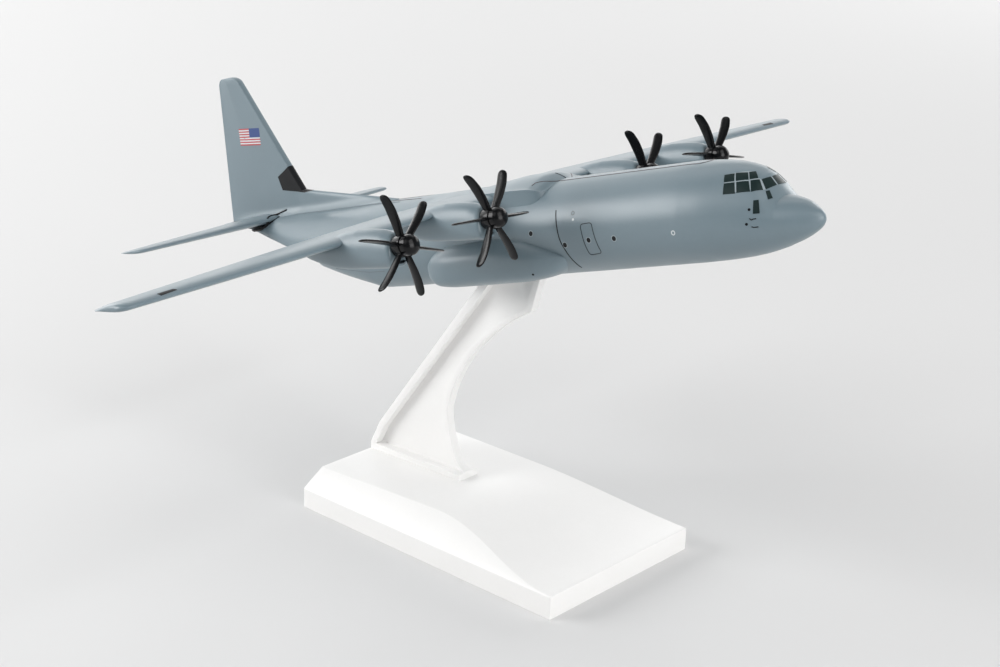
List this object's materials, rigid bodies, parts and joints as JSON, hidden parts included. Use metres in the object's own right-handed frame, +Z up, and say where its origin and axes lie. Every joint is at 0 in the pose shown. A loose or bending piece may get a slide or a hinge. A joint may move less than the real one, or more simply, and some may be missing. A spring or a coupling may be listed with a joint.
{
  "type": "scale model of a transport plane on a display stand",
  "caption": "Desk display model of a high-wing propeller transport plane, held nose up by an arm on a solid plinth, with propellers that turn freely.",
  "frame": {"origin": "centre of the underside of the plinth, which stands on the desk", "axes": "+Z up, +X towards the plane's nose, +Y towards its port wing tip"},
  "size_m": [0.229, 0.2676, 0.1289],
  "materials": {
    "grey_paint": "satin blue-grey paint on moulded plastic",
    "black_plastic": "glossy black moulded plastic",
    "white_plastic": "satin white moulded plastic"
  },
  "bodies": {
    "model": {"stand_base": "white_plastic", "stand_arm": "white_plastic", "fuselage": "grey_paint", "wing_centre": "grey_paint", "wing_right": "grey_paint", "wing_left": "grey_paint", "cowl_inboard_right": "grey_paint", "cowl_inboard_left": "grey_paint", "cowl_outboard_right": "grey_paint", "cowl_outboard_left": "grey_paint", "sponson_right": "grey_paint", "sponson_left": "grey_paint", "tail_fin": "grey_paint", "tailplane_right": "grey_paint", "tailplane_left": "grey_paint"},
    "inboard_right_propeller": {"propeller_inboard_right": "black_plastic"},
    "inboard_left_propeller": {"propeller_inboard_left": "black_plastic"},
    "outboard_right_propeller": {"propeller_outboard_right": "black_plastic"},
    "outboard_left_propeller": {"propeller_outboard_left": "black_plastic"}
  },
  "joints": [
    {"name": "inboard_right_spin", "type": "hinge", "parent": "model", "child": "inboard_right_propeller", "pos_m": [0.02729, -0.0319, 0.10908], "axis": [0.9565, 0, 0.2917], "continuous": true},
    {"name": "inboard_left_spin", "type": "hinge", "parent": "model", "child": "inboard_left_propeller", "pos_m": [0.02729, 0.0319, 0.10908], "axis": [0.9565, 0, 0.2917], "continuous": true},
    {"name": "outboard_right_spin", "type": "hinge", "parent": "model", "child": "outboard_right_propeller", "pos_m": [0.02743, -0.064, 0.10862], "axis": [0.9565, 0, 0.2917], "continuous": true},
    {"name": "outboard_left_spin", "type": "hinge", "parent": "model", "child": "outboard_left_propeller", "pos_m": [0.02743, 0.064, 0.10862], "axis": [0.9565, 0, 0.2917], "continuous": true}
  ]
}
